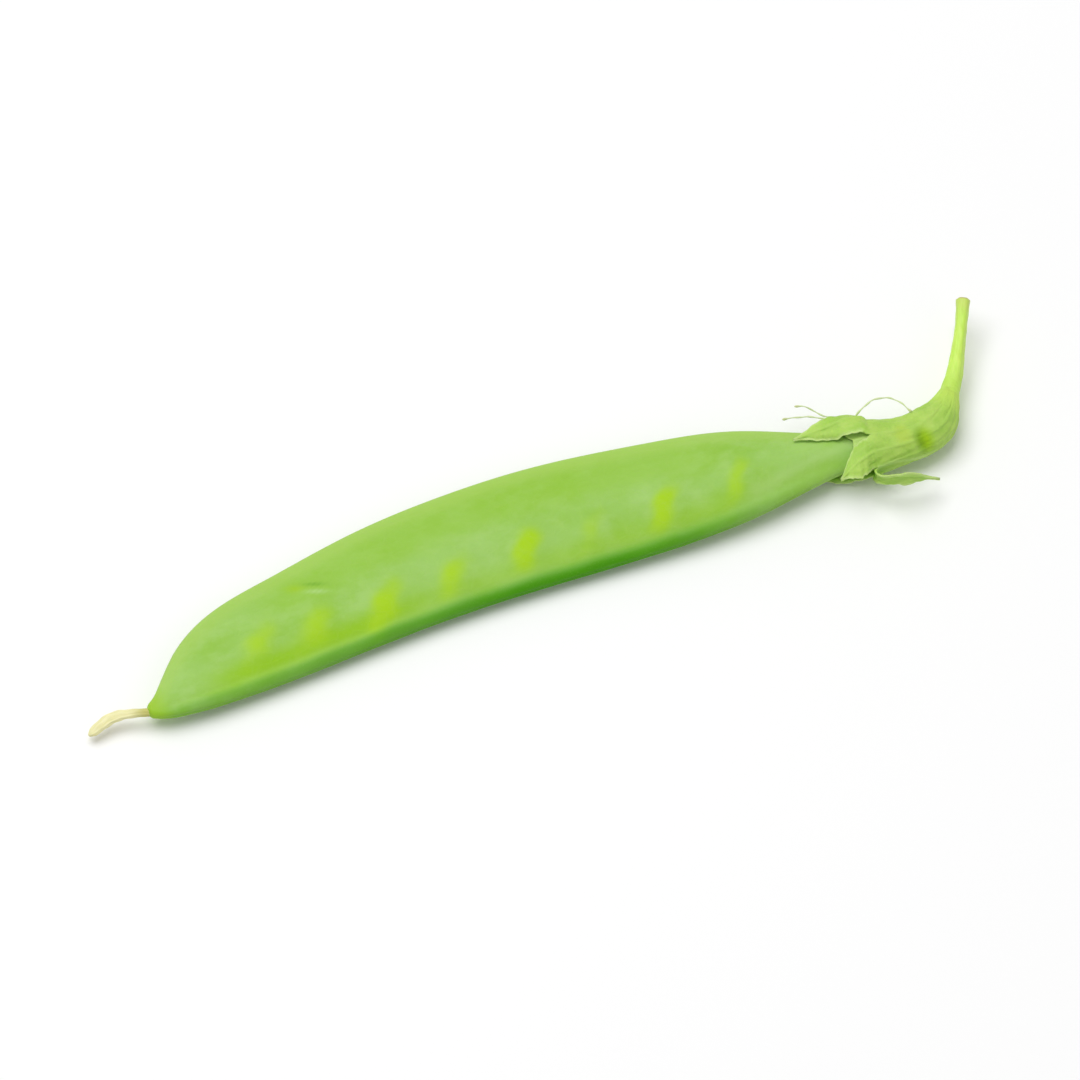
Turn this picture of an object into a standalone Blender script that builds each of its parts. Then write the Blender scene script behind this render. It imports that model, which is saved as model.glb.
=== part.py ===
"""Snow pea pod, picked with its calyx and a short length of stem, lying flat on one side.

The pod lies along X with its stem end at +X and its beak at -X.  The seeds hang from the nearly
straight ventral edge at -Y, and the arched dorsal edge is at +Y.  It rests on a small flat spot
under its belly.  Sizes are in millimetres here, measured from the beak in the pod's own plane,
and become metres when a mesh is made.
"""
import math

import bmesh
import bpy
import numpy as np

MM = 0.001
CURVE_SAMPLES = 1200
SHARP_ANGLE = 50

# --- the pod -------------------------------------------------------------------------------
# Centre lines of the two rounded rims, from the beak to the neck inside the calyx.
VENTRAL_RIM = [(0.0, -1.1), (1.6, -1.9), (5.0, -2.4), (15.0, -2.5), (28.0, -2.0), (40.0, -1.65),
               (54.0, -2.05), (66.0, -2.85), (76.0, -3.35), (85.0, -3.0), (92.0, -2.1), (102.0, -1.8)]
DORSAL_RIM = [(0.0, -1.1), (0.9, -0.6), (3.0, 1.2), (7.5, 5.5), (13.0, 8.6), (22.0, 10.75),
              (34.0, 12.8), (48.0, 13.6), (60.0, 13.0), (74.0, 10.5), (84.0, 7.8), (90.0, 5.0),
              (95.0, 2.6), (102.0, 0.35)]
BEAK_RADIUS = 0.75
VENTRAL_RIM_RADIUS = 1.1
DORSAL_RIM_RADIUS = 0.9
NECK_RIM_RADIUS = 0.8
RIM_AT = [0, 0.02, 0.08, 0.9, 1]
BEAK_SPAN = 0.2
# Half thickness of the flat belly between the rims, at fractions of the way from beak to neck.
BELLY_AT = [0.0, 0.03, 0.1, 0.25, 0.5, 0.8, 0.92, 1.0]
BELLY_HALF = [0.75, 0.95, 1.6, 2.15, 2.3, 2.2, 1.85, 1.5]
BELLY_ROUNDNESS = 0.75
RIM_BLEND = 8
# Young seeds that swell both walls: their centres, and the swelling's height and half widths.
SEEDS = [(16.5, 1.8), (24.2, 1.4), (33.5, 1.6), (43.2, 1.8), (53.3, 1.8), (62.0, 1.1), (71.8, 0.6),
         (81.6, 0.2)]
SEED_SWELL = 0.5
SEED_ALONG = 2.9
SEED_ACROSS = 3.7
# The pod bends up slightly at both ends, clear of the surface that its belly rests on.
NECK_LIFT = 1.35
NECK_LIFT_FROM = 58.0
TIP_LIFT = 0.5
TIP_LIFT_FROM = 24.0
REST_HALF = 2.1
POD_RINGS = 96
POD_COLUMNS = 32
CAP_RINGS = 5

# --- the calyx: a bent cup with five lobes ---------------------------------------------------
GAP = 0.3
CUP_AXIS = [(112.5, 3.2), (110.6, 1.0), (108.1, -0.8), (105.3, -1.35), (102.4, -1.2), (99.8, -0.8)]
CUP_RADIUS = [1.25, 2.1, 3.0, 3.1, 3.3, 3.9]
CUP_FLATTEN = 0.8
CUP_WALL = 0.6
CUP_FLOOR_AT = 0.42
CUP_DOME = 0.35
CUP_COLUMNS = 40
CUP_OUTER_RINGS = 12
CUP_INNER_RINGS = 8
NEAR = 0.01
# Each lobe takes some of the cup's columns.  It then has a length, a lean out from the cup's axis
# at its root and further out in degrees, a sideways drift, its widest half width, and a twist in
# degrees that turns it parallel to the pod's face.  They go round from the dorsal edge over the top.
# The third one, on the ventral side, is folded right back.
LOBES = [(10, 10.0, 66.0, -1.0, -1.0, 1.8, -34.0),
         (7, 5.0, 2.0, 2.0, 2.0, 1.7, 20.0),
         (7, 8.6, 40.0, 164.0, 0.0, 1.7, 0.0),
         (7, 7.2, -6.0, -4.0, 0.6, 1.5, -18.0),
         (9, 8.6, 16.0, 9.0, 0.6, 1.9, 34.0)]
LEAN_SPAN = 0.1
DRIFT_POWER = 1.5
LOBE_WIDTH_AT = [0, 0.13, 0.4, 0.75, 1]
SINUS = 0.3
LOBE_TAPER = 0.55
LOBE_TIP_HALF = 0.3
LOBE_THICK = 0.6
LOBE_FLATTEN = 0.6
FLATTEN_DONE = 0.5
TWIST_DONE = 0.7
LOBE_ROWS = 12

# --- the stem and the dried style --------------------------------------------------------------
STEM_LINE = [(112.5, 3.2), (113.9, 5.1), (115.3, 7.4), (117.0, 10.3), (119.2, 14.4)]
STEM_RADIUS = [1.25, 1.05, 0.86, 0.78, 0.92]
STEM_RISE = 1.6
STEM_RINGS = 26
STYLE_LINE = [(0.0, -1.1), (-1.8, -0.45), (-4.1, 0.1), (-6.4, -0.3), (-8.1, -0.8)]
STYLE_RADIUS = [0.5, 0.5, 0.55, 0.46, 0.34]
STYLE_DROP = 1.3
STYLE_RINGS = 18
ROUND_STEPS = 3

COLOURS = {
    "pod": (0.33, 0.60, 0.10, 1.0),
    "calyx": (0.42, 0.66, 0.12, 1.0),
    "stem": (0.53, 0.78, 0.16, 1.0),
    "style": (0.72, 0.72, 0.38, 1.0),
}


def cubic(knots, values, at):
    """Natural cubic spline through the values at the knots, read at the given places."""
    knots = np.asarray(knots, float)
    values = np.asarray(values, float)
    count = len(knots)
    step = np.diff(knots)
    slope = np.diff(values, axis=0) / step.reshape([-1] + [1] * (values.ndim - 1))
    system = np.eye(count)
    for i in range(1, count - 1):
        system[i, i - 1:i + 2] = step[i - 1], 2 * (step[i - 1] + step[i]), step[i]
    right = np.zeros_like(values)
    right[1:-1] = 6 * np.diff(slope, axis=0)
    bend = np.linalg.solve(system, right)
    at = np.asarray(at, float)
    piece = np.clip(np.searchsorted(knots, at) - 1, 0, count - 2)
    shape = [-1] + [1] * (values.ndim - 1)
    width = step[piece].reshape(shape)
    after = (at - knots[piece]).reshape(shape)
    before = width - after
    return ((bend[piece] * before ** 3 + bend[piece + 1] * after ** 3) / (6 * width)
            + (values[piece] / width - bend[piece] * width / 6) * before
            + (values[piece + 1] / width - bend[piece + 1] * width / 6) * after)


def line(points, at):
    """Smooth curve through the points, read at fractions of its own length."""
    points = np.asarray(points, float)
    knots = np.concatenate([[0], np.cumsum(np.linalg.norm(np.diff(points, axis=0), axis=1))])
    fine = cubic(knots, points, np.linspace(0, knots[-1], CURVE_SAMPLES))
    run = np.concatenate([[0], np.cumsum(np.linalg.norm(np.diff(fine, axis=0), axis=1))])
    at = np.asarray(at) * run[-1]
    return np.stack([np.interp(at, run, fine[:, k]) for k in range(points.shape[1])], axis=1)


def smooth(value):
    """Ease from 0 to 1 as the value goes from 0 to 1."""
    value = np.clip(value, 0, 1)
    return value * value * (3 - 2 * value)


def lift(x):
    """Height of the pod's middle plane: flat under the belly, rising to the neck and the beak."""
    neck = smooth((x - NECK_LIFT_FROM) / (100.0 - NECK_LIFT_FROM))
    tip = smooth((TIP_LIFT_FROM - x) / TIP_LIFT_FROM)
    return NECK_LIFT * neck + TIP_LIFT * tip


def swelling(x, y):
    """How far the seeds push a wall out: one smooth mound over each seed."""
    height = np.zeros_like(x)
    for seed_x, seed_y in SEEDS:
        reach = ((x - seed_x) / SEED_ALONG) ** 2 + ((y - seed_y) / SEED_ACROSS) ** 2
        height += SEED_SWELL * np.exp(-reach)
    return height


def add_object(name, data):
    """Link the data as an object with a material of its own."""
    material = bpy.data.materials.new(name)
    material.use_nodes = True
    shader = material.node_tree.nodes["Principled BSDF"]
    shader.inputs["Base Color"].default_value = COLOURS[name]
    shader.inputs["Roughness"].default_value = 0.45
    shader.inputs["Metallic"].default_value = 0.0
    data.materials.append(material)
    thing = bpy.data.objects.new(name, data)
    bpy.context.collection.objects.link(thing)
    return thing


def add_mesh(name, points, faces):
    """Make a smooth-shaded mesh object from points in millimetres."""
    mesh = bpy.data.meshes.new(name)
    mesh.from_pydata((np.asarray(points) * MM).tolist(), [], faces)
    form = bmesh.new()
    form.from_mesh(mesh)
    bmesh.ops.recalc_face_normals(form, faces=form.faces)
    form.to_mesh(mesh)
    form.free()
    mesh.shade_smooth()
    mesh.set_sharp_from_angle(angle=math.radians(SHARP_ANGLE))
    return add_object(name, mesh)


def strips(rows, columns, start):
    """Triangles that join each ring of points to the next, all split the same way."""
    faces = []
    for i in range(rows - 1):
        for j in range(columns):
            a = start + i * columns + j
            b = start + i * columns + (j + 1) % columns
            faces.append((a, b, b + columns))
            faces.append((a, b + columns, a + columns))
    return faces


def length_of(points):
    """Length of the straight runs through the points."""
    return np.linalg.norm(np.diff(np.asarray(points, float), axis=0), axis=1).sum()


def make_pod():
    """The pod: a lens between two rims, swollen by its seeds, as rings from the beak to the neck."""
    cap_end = BEAK_RADIUS / length_of(VENTRAL_RIM)
    turn = np.linspace(0, math.pi / 2, CAP_RINGS + 1)[1:]
    at = np.concatenate([cap_end * (1 - np.cos(turn)), np.linspace(cap_end, 1, POD_RINGS)[1:]])
    close = np.concatenate([np.sin(turn), np.ones(POD_RINGS - 1)])
    low = line(VENTRAL_RIM, at)
    high = line(DORSAL_RIM, at)
    low_radius = close * np.interp(at, RIM_AT, [BEAK_RADIUS, BEAK_RADIUS, VENTRAL_RIM_RADIUS,
                                                VENTRAL_RIM_RADIUS, NECK_RIM_RADIUS])
    high_radius = close * np.interp(at, RIM_AT, [BEAK_RADIUS, BEAK_RADIUS, DORSAL_RIM_RADIUS,
                                                 DORSAL_RIM_RADIUS, NECK_RIM_RADIUS])
    belly = close * cubic(BELLY_AT, BELLY_HALF, at)
    # Where the rims all but meet, in the beak, the rings keep the direction of the first wide one.
    span = np.linalg.norm(high - low, axis=1)
    wide = span > BEAK_SPAN
    across = (high - low) / np.where(wide, span, 1.0)[:, None]
    across[~wide] = across[np.argmax(wide)]

    turn = np.linspace(0, 2 * math.pi, POD_COLUMNS, endpoint=False)
    share = (1 - np.cos(turn)) / 2
    side = np.where(turn < math.pi, 1.0, -1.0)
    side[[0, POD_COLUMNS // 2]] = 0.0
    total = span + low_radius + high_radius
    reach = share[None, :] * total[:, None] - low_radius[:, None]
    lens = belly[:, None] * (4 * share * (1 - share))[None, :] ** BELLY_ROUNDNESS
    low_rim = np.sqrt(np.maximum(low_radius[:, None] ** 2 - reach ** 2, 0))
    high_rim = np.sqrt(np.maximum(high_radius[:, None] ** 2 - (reach - span[:, None]) ** 2, 0))
    half = (lens ** RIM_BLEND + low_rim ** RIM_BLEND + high_rim ** RIM_BLEND) ** (1 / RIM_BLEND)

    x = low[:, None, 0] + across[:, None, 0] * reach
    y = low[:, None, 1] + across[:, None, 1] * reach
    half = half + swelling(x, y) * smooth(half)
    z = np.maximum(half * side[None, :] + lift(x), -REST_HALF)
    rings = np.stack([x, y, z], axis=2)

    beak_x, beak_y = VENTRAL_RIM[0]
    beak = len(at) * POD_COLUMNS
    points = np.concatenate([rings.reshape(-1, 3), [[beak_x, beak_y, float(lift(beak_x))]]])
    faces = strips(len(at), POD_COLUMNS, 0)
    faces += [(beak, (j + 1) % POD_COLUMNS, j) for j in range(POD_COLUMNS)]
    faces.append(tuple(range(beak - POD_COLUMNS, beak)))
    return add_mesh("pod", points, faces)


def cup_rings(at, radius):
    """Rings of the cup: ovals square to its bent axis, from the stem to the mouth."""
    centre = line(CUP_AXIS, at)
    ahead = line(CUP_AXIS, np.minimum(at + NEAR, 1)) - line(CUP_AXIS, np.maximum(at - NEAR, 0))
    ahead /= np.linalg.norm(ahead, axis=1)[:, None]
    sideways = np.stack([ahead[:, 1], -ahead[:, 0]], axis=1)
    turn = math.pi / 2 - np.linspace(0, 2 * math.pi, CUP_COLUMNS, endpoint=False)
    out = np.sin(turn)[None, :, None] * sideways[:, None, :] * radius[:, None, None]
    z = np.cos(turn)[None, :] * radius[:, None] * CUP_FLATTEN + lift(centre[:, :1])
    return np.concatenate([centre[:, None, :] + out, z[:, :, None]], axis=2)


def lobe_sheet(lobe, mouth):
    """Middle surface of one lobe: it leaves the mouth's arc, follows a curling midline and narrows."""
    _, length, lean_root, lean_tip, drift, half_width, twist = lobe
    along = np.linspace(0, 1, LOBE_ROWS + 1)
    middle = mouth[len(mouth) // 2]
    chord = mouth[-1] - mouth[0]
    root_half = np.linalg.norm(chord) / 2
    forward = np.array([-1.0, 0.0, 0.0])
    chord = chord / (2 * root_half)
    rise = np.cross(forward, chord)
    rise *= np.sign(rise @ (middle - (mouth[0] + mouth[-1]) / 2))
    turned = np.radians(twist) * smooth(along / TWIST_DONE)
    sideways = np.cos(turned)[:, None] * chord + np.sin(turned)[:, None] * rise
    outward = np.cos(turned)[:, None] * rise - np.sin(turned)[:, None] * chord

    lean = np.radians(lean_tip + (lean_root - lean_tip) * np.exp(-along / LEAN_SPAN))
    stride = length / LOBE_ROWS
    ahead = np.concatenate([[0], np.cumsum((np.cos(lean[1:]) + np.cos(lean[:-1])) / 2)]) * stride
    out = np.concatenate([[0], np.cumsum((np.sin(lean[1:]) + np.sin(lean[:-1])) / 2)]) * stride
    spine = (middle + forward * ahead[:, None] + rise * out[:, None]
             + chord * (drift * along ** DRIFT_POWER)[:, None])

    width = cubic(LOBE_WIDTH_AT, [root_half, root_half - SINUS, half_width, half_width * LOBE_TAPER,
                                  LOBE_TIP_HALF], along)
    flat = ((mouth - middle) @ chord) / root_half
    hollow = (mouth - middle) @ rise
    bow = (width / root_half * (1 - LOBE_FLATTEN * smooth(along / FLATTEN_DONE)))[:, None] * hollow[None, :]
    lifted = -np.sin(lean)[:, None] * forward + np.cos(lean)[:, None] * outward
    lifted[0] = rise
    return (spine[:, None, :] + sideways[:, None, :] * (width[:, None] * flat[None, :])[:, :, None]
            + lifted[:, None, :] * bow[:, :, None])


def cup_walls():
    """Rings of the cup's outside, from the stem to the mouth, and of its inside, from a round floor."""
    knots = np.linspace(0, 1, len(CUP_RADIUS))
    at = np.linspace(GAP / length_of(CUP_AXIS), 1, CUP_OUTER_RINGS)
    outer = cup_rings(at, cubic(knots, CUP_RADIUS, at))
    deep = np.linspace(0, 1, CUP_INNER_RINGS + 1)
    at = CUP_FLOOR_AT + (1 - CUP_FLOOR_AT) * deep
    dome = np.sqrt(1 - (1 - np.minimum(deep / CUP_DOME, 1)) ** 2)
    inner = cup_rings(at, (cubic(knots, CUP_RADIUS, at) - CUP_WALL) * dome)
    return outer, inner[1:], inner[0, :1]


def make_calyx():
    """The calyx: a thin cup, solid where it joins the stem, whose mouth divides into five lobes."""
    outer, inner, floor_centre = cup_walls()
    around = CUP_COLUMNS
    inner_start = len(outer) * around
    floor_point = inner_start + len(inner) * around
    points = [outer.reshape(-1, 3), inner.reshape(-1, 3), floor_centre]
    faces = strips(len(outer), around, 0) + strips(len(inner), around, inner_start)
    faces.append(tuple(range(around)))
    faces += [(floor_point, inner_start + (j + 1) % around, inner_start + j) for j in range(around)]

    used = floor_point + 1
    first = 0
    for lobe in LOBES:
        count = lobe[0]
        columns = [(first + k) % around for k in range(count + 1)]
        first += count
        sheet = lobe_sheet(lobe, (outer[-1][columns] + inner[-1][columns]) / 2)
        normal = np.cross(np.gradient(sheet, axis=1), np.gradient(sheet, axis=0))
        normal /= np.linalg.norm(normal, axis=2)[:, :, None]
        normal *= np.sign((normal[0] * (outer[-1][columns] - inner[-1][columns])).sum())
        points.append((sheet[1:] + normal[1:] * LOBE_THICK / 2).reshape(-1, 3))
        points.append((sheet[1:] - normal[1:] * LOBE_THICK / 2).reshape(-1, 3))
        # Row 0 of each face of the lobe is the cup's own mouth, so cup and lobes are one body.
        front = [[inner_start - around + j for j in columns]]
        back = [[floor_point - around + j for j in columns]]
        for i in range(LOBE_ROWS):
            front.append([used + i * (count + 1) + k for k in range(count + 1)])
            back.append([used + (LOBE_ROWS + i) * (count + 1) + k for k in range(count + 1)])
        used += 2 * LOBE_ROWS * (count + 1)
        for i in range(LOBE_ROWS):
            for k in range(count):
                for layer in (front, back):
                    faces.append((layer[i][k], layer[i][k + 1], layer[i + 1][k + 1]))
                    faces.append((layer[i][k], layer[i + 1][k + 1], layer[i + 1][k]))
            for k in (0, count):
                faces.append((front[i][k], front[i + 1][k], back[i + 1][k], back[i][k]))
        for k in range(count):
            faces.append((front[-1][k], front[-1][k + 1], back[-1][k + 1], back[-1][k]))
    return add_mesh("calyx", np.concatenate(points), faces)


def make_thread(name, points, radius, height, steps):
    """A tapering round thread with capped ends along a smooth line, as a bevelled curve."""
    at = np.linspace(GAP / length_of(points), 1, steps)
    path = line(points, at)
    thick = cubic(np.linspace(0, 1, len(radius)), radius, at)
    curve = bpy.data.curves.new(name, "CURVE")
    curve.dimensions = "3D"
    curve.bevel_depth = MM
    curve.bevel_resolution = ROUND_STEPS
    curve.use_fill_caps = True
    spline = curve.splines.new("POLY")
    spline.points.add(steps - 1)
    for point, place, rise, size in zip(spline.points, path, height(at), thick):
        point.co = (place[0] * MM, place[1] * MM, rise * MM, 1.0)
        point.radius = size
    return add_object(name, curve)


def make_stem():
    """The stem: flared where it carries the calyx, bent towards the dorsal side, cut at its end."""
    start = float(lift(STEM_LINE[0][0]))
    return make_thread("stem", STEM_LINE, STEM_RADIUS, lambda at: start + STEM_RISE * at ** 2,
                       STEM_RINGS)


def make_style():
    """The dried style that is left on the beak, drooping to its tip."""
    start = float(lift(STYLE_LINE[0][0]))
    return make_thread("style", STYLE_LINE, STYLE_RADIUS, lambda at: start - STYLE_DROP * at ** 2,
                       STYLE_RINGS)


def clear_scene():
    """Remove whatever objects the scene starts with."""
    for thing in list(bpy.data.objects):
        bpy.data.objects.remove(thing, do_unlink=True)


def set_down(pieces):
    """Parent the pieces to an empty and move it, so that they rest on z = 0, centred in X and Y."""
    base = bpy.data.objects.new("pod_base", None)
    bpy.context.collection.objects.link(base)
    for piece in pieces:
        piece.parent = base
    bpy.context.view_layer.update()
    graph = bpy.context.evaluated_depsgraph_get()
    corners = []
    for piece in pieces:
        mesh = piece.evaluated_get(graph).to_mesh()
        flat = np.empty(len(mesh.vertices) * 3)
        mesh.vertices.foreach_get("co", flat)
        corners += [flat.reshape(-1, 3).min(axis=0), flat.reshape(-1, 3).max(axis=0)]
    low = np.min(corners, axis=0)
    high = np.max(corners, axis=0)
    base.location = (-(low[0] + high[0]) / 2, -(low[1] + high[1]) / 2, -low[2])
    bpy.context.view_layer.update()


clear_scene()
set_down([make_pod(), make_calyx(), make_stem(), make_style()])
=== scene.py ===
import math

import bpy
import numpy as np
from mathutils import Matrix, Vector


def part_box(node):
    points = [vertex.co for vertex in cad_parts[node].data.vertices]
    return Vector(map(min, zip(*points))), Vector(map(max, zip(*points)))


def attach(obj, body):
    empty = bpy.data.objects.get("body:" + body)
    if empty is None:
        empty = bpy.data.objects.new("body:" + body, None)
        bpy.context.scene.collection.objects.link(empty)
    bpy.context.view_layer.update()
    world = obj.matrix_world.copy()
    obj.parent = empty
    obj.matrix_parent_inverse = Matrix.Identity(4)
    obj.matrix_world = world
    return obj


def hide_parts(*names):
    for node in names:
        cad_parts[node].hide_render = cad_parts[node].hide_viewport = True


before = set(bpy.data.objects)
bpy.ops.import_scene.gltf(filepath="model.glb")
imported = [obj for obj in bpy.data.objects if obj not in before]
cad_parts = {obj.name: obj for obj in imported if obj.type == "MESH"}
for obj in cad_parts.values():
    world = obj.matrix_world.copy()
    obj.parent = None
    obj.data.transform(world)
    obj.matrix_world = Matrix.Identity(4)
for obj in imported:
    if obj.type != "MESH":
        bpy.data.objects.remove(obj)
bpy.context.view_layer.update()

# The pod: the pea flower's ripened ovary, two thin fleshy walls that grew together along two seams.
# The seeds hang from the nearly straight ventral seam at -Y and swell both walls a little; the arched
# seam at +Y is a plain keel.  Its own plane is measured in millimetres from the beak.
MM = 0.001
# The lowest corner of the pod's box in its own plane; the frame's box of the pod gives the same corner.
POD_LOW = np.array([0.0, -4.463, -2.1])
ORIGIN = np.array(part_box("pod")[0]) - POD_LOW * MM
VENTRAL_RIM = [(0.0, -1.1), (1.6, -1.9), (5.0, -2.4), (15.0, -2.5), (28.0, -2.0), (40.0, -1.65),
               (54.0, -2.05), (66.0, -2.85), (76.0, -3.35), (85.0, -3.0), (92.0, -2.1), (102.0, -1.8)]
DORSAL_RIM = [(0.0, -1.1), (0.9, -0.6), (3.0, 1.2), (7.5, 5.5), (13.0, 8.6), (22.0, 10.75),
              (34.0, 12.8), (48.0, 13.6), (60.0, 13.0), (74.0, 10.5), (84.0, 7.8), (90.0, 5.0),
              (95.0, 2.6), (102.0, 0.35)]
BEAK_RADIUS = 0.75
VENTRAL_RADIUS = 1.1
DORSAL_RADIUS = 0.9
NECK_RADIUS = 0.8
RIM_AT = [0, 0.02, 0.08, 0.9, 1]
BELLY_AT = [0.0, 0.03, 0.1, 0.25, 0.5, 0.8, 0.92, 1.0]
BELLY_HALF = [0.75, 0.95, 1.6, 2.15, 2.3, 2.2, 1.85, 1.5]
BELLY_ROUNDNESS = 0.75
BEAK_SPAN = 0.2
RIM_BLEND = 8
REST_HALF = 2.1
NECK_LIFT = 1.35
NECK_LIFT_FROM = 58.0
TIP_LIFT = 0.5
TIP_LIFT_FROM = 24.0
POD_RINGS = 500
POD_COLUMNS = 128
CAP_RINGS = 14
# Each young seed: its centre, how clearly its spot shows, and the spot's half width and half height.
SEEDS = [(16.5, 1.8, 0.75, 2.4, 2.6), (24.2, 1.4, 0.75, 2.6, 2.8), (33.5, 1.1, 1.00, 2.2, 3.0),
         (43.2, 1.8, 0.80, 2.1, 2.7), (53.3, 1.8, 1.00, 2.1, 2.8), (62.0, 1.1, 0.50, 1.7, 2.8),
         (71.8, 0.6, 0.95, 1.9, 2.9), (81.6, 0.2, 0.70, 1.5, 3.2)]
SEED_SWELL = 0.5
SEED_ALONG = 2.9
SEED_ACROSS = 3.7
SPOT_LEAN = 0.6
SPOT_EDGE = 2.2
# How strong the painted shade on the deep green band along the seed seam is, from the beak to the
# neck; the band stands for the shade where the pod's lower edge turns down away from the light.
PAINTED_SHADE_AT = [0, 6, 14, 30, 50, 64, 74, 84, 92]
PAINTED_SHADE_SHOWS = [0.15, 0.38, 0.52, 0.72, 1.0, 1.0, 0.8, 0.3, 0.0]
# Relief in millimetres: the heights of the seed seam's two ridges and groove, the keel, the creases
# inside the rims, the veins and the waves, then how far from the edge or how wide each of them is.
RIDGE, GROOVE, KEEL, CREASE, VEIN, WAVE = 0.035, 0.09, 0.07, 0.05, 0.02, 0.035
RIDGE_OUT, RIDGE_WIDE, GROOVE_WIDE, KEEL_WIDE = 0.47, 0.2, 0.17, 0.2
SEED_CREASE_IN, SEED_CREASE_WIDE = 1.7, 0.55
KEEL_CREASE_IN, KEEL_CREASE_WIDE = 1.5, 0.5
VEINS_APART, VEIN_WIDE = 2.7, 0.22
CROSS_VEINS_APART, CROSS_VEIN_WIDE = 4.1, 0.2
# A small old scrape high on the tip end's face, and the way it runs.
SCRAPE_AT = (25.4, 7.4)
SCRAPE_ALONG = (0.92, -0.39)
# The greens of its skin, in linear light.
FLESH = (0.330, 0.575, 0.125, 1.0)
DEEPER_FLESH = (0.290, 0.540, 0.070, 1.0)
BLOOM = (0.405, 0.635, 0.195, 1.0)
KEEL_HALF = (0.295, 0.555, 0.045, 1.0)
# Partly the keel seam's lighter green and partly a painted highlight along the keel's rim.
KEEL_RIM_AND_HIGHLIGHT = (0.405, 0.630, 0.125, 1.0)
KEEL_LINE = (0.40, 0.62, 0.13, 1.0)
SEED_FLUSH = (0.295, 0.565, 0.004, 1.0)
SEED_TAIL = (0.215, 0.480, 0.004, 1.0)
SEED_SPOT = (0.385, 0.640, 0.008, 1.0)
PALE_VEIN = (0.40, 0.64, 0.12, 1.0)
# A painted highlight on the neck's upper side, above the seed seam.
NECK_PAINTED_HIGHLIGHT = (0.385, 0.600, 0.175, 1.0)
# Painted shade: the seed seam's band, where the pod's lower edge turns away from the light.
SEAM_PAINTED_SHADE = (0.072, 0.328, 0.001, 1.0)
SCRAPE_END = (0.340, 0.580, 0.020, 1.0)
SCRAPE_PALE = (0.460, 0.690, 0.250, 1.0)
SCRAPE_DARK = (0.180, 0.420, 0.030, 1.0)
BEAK_GREEN = (0.330, 0.570, 0.020, 1.0)
SPECKS = (0.45, 0.68, 0.22, 1.0)


def cubic(knots, values, at):
    """Natural cubic spline through the values at the knots, read at the given places."""
    knots = np.asarray(knots, float)
    values = np.asarray(values, float)
    count = len(knots)
    step = np.diff(knots)
    slope = np.diff(values, axis=0) / step.reshape([-1] + [1] * (values.ndim - 1))
    system = np.eye(count)
    for i in range(1, count - 1):
        system[i, i - 1:i + 2] = step[i - 1], 2 * (step[i - 1] + step[i]), step[i]
    right = np.zeros_like(values)
    right[1:-1] = 6 * np.diff(slope, axis=0)
    bend = np.linalg.solve(system, right)
    at = np.asarray(at, float)
    piece = np.clip(np.searchsorted(knots, at) - 1, 0, count - 2)
    shape = [-1] + [1] * (values.ndim - 1)
    width = step[piece].reshape(shape)
    after = (at - knots[piece]).reshape(shape)
    before = width - after
    return ((bend[piece] * before ** 3 + bend[piece + 1] * after ** 3) / (6 * width)
            + (values[piece] / width - bend[piece] * width / 6) * before
            + (values[piece + 1] / width - bend[piece + 1] * width / 6) * after)


def line(points, at):
    """Smooth curve through the points, read at fractions of its own length."""
    points = np.asarray(points, float)
    knots = np.concatenate([[0], np.cumsum(np.linalg.norm(np.diff(points, axis=0), axis=1))])
    fine = cubic(knots, points, np.linspace(0, knots[-1], 6000))
    run = np.concatenate([[0], np.cumsum(np.linalg.norm(np.diff(fine, axis=0), axis=1))])
    at = np.asarray(at) * run[-1]
    return np.stack([np.interp(at, run, fine[:, k]) for k in range(points.shape[1])], axis=1)


def length_of(points):
    """Length of the straight runs through the points."""
    return np.linalg.norm(np.diff(np.asarray(points, float), axis=0), axis=1).sum()


def smooth(value):
    """Ease from 0 to 1 as the value goes from 0 to 1."""
    value = np.clip(value, 0, 1)
    return value * value * (3 - 2 * value)


def mound(distance, width):
    """A smooth bump: 1 where the distance is 0, and all but gone at two widths."""
    return np.exp(-(distance / width) ** 2)


def lift(x):
    """Height of the pod's middle plane: flat under the belly, rising to the neck and the beak."""
    neck = smooth((x - NECK_LIFT_FROM) / (100.0 - NECK_LIFT_FROM))
    return NECK_LIFT * neck + TIP_LIFT * smooth((TIP_LIFT_FROM - x) / TIP_LIFT_FROM)


def outward(grid, wrap):
    """Unit normals of a grid of points, rows by columns, from the differences along both ways."""
    along = np.gradient(grid, axis=0)
    if wrap:
        across = (np.roll(grid, -1, axis=1) - np.roll(grid, 1, axis=1)) / 2
    else:
        across = np.gradient(grid, axis=1)
    normal = np.cross(along, across)
    return normal / np.maximum(np.linalg.norm(normal, axis=2), 1e-12)[:, :, None]


def squares(rows, columns, start=0):
    """Faces between neighbouring points of a grid whose last column meets its first."""
    i, j = np.meshgrid(np.arange(rows - 1), np.arange(columns), indexing="ij")
    corner = start + i * columns + j
    beside = start + i * columns + (j + 1) % columns
    return np.stack([corner, corner + columns, beside + columns, beside], axis=-1).reshape(-1, 4).tolist()


def pole(ring, point, ahead):
    """Triangles that close a ring of point numbers on one point, ahead of the ring or behind it."""
    after = np.roll(ring, -1)
    tip = np.full(len(ring), point)
    order = [ring, tip, after] if ahead else [after, tip, ring]
    return np.stack(order, axis=-1).tolist()


def piece(name, points, faces, fields, material, slot, nodes=()):
    """Make a smooth piece from points in millimetres, with a value per point for each field."""
    mesh = bpy.data.meshes.new(name)
    mesh.from_pydata((points * MM + ORIGIN).tolist(), [], faces)
    for field, values in fields.items():
        vector = values.ndim == 2
        layer = mesh.attributes.new(field, "FLOAT_VECTOR" if vector else "FLOAT", "POINT")
        layer.data.foreach_set("vector" if vector else "value", values.astype(np.float32).ravel())
    mesh.shade_smooth()
    mesh.materials.append(material)
    thing = bpy.data.objects.new(name, mesh)
    bpy.context.scene.collection.objects.link(thing)
    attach(thing, "root")
    if nodes:
        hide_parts(*nodes)
    return thing


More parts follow.
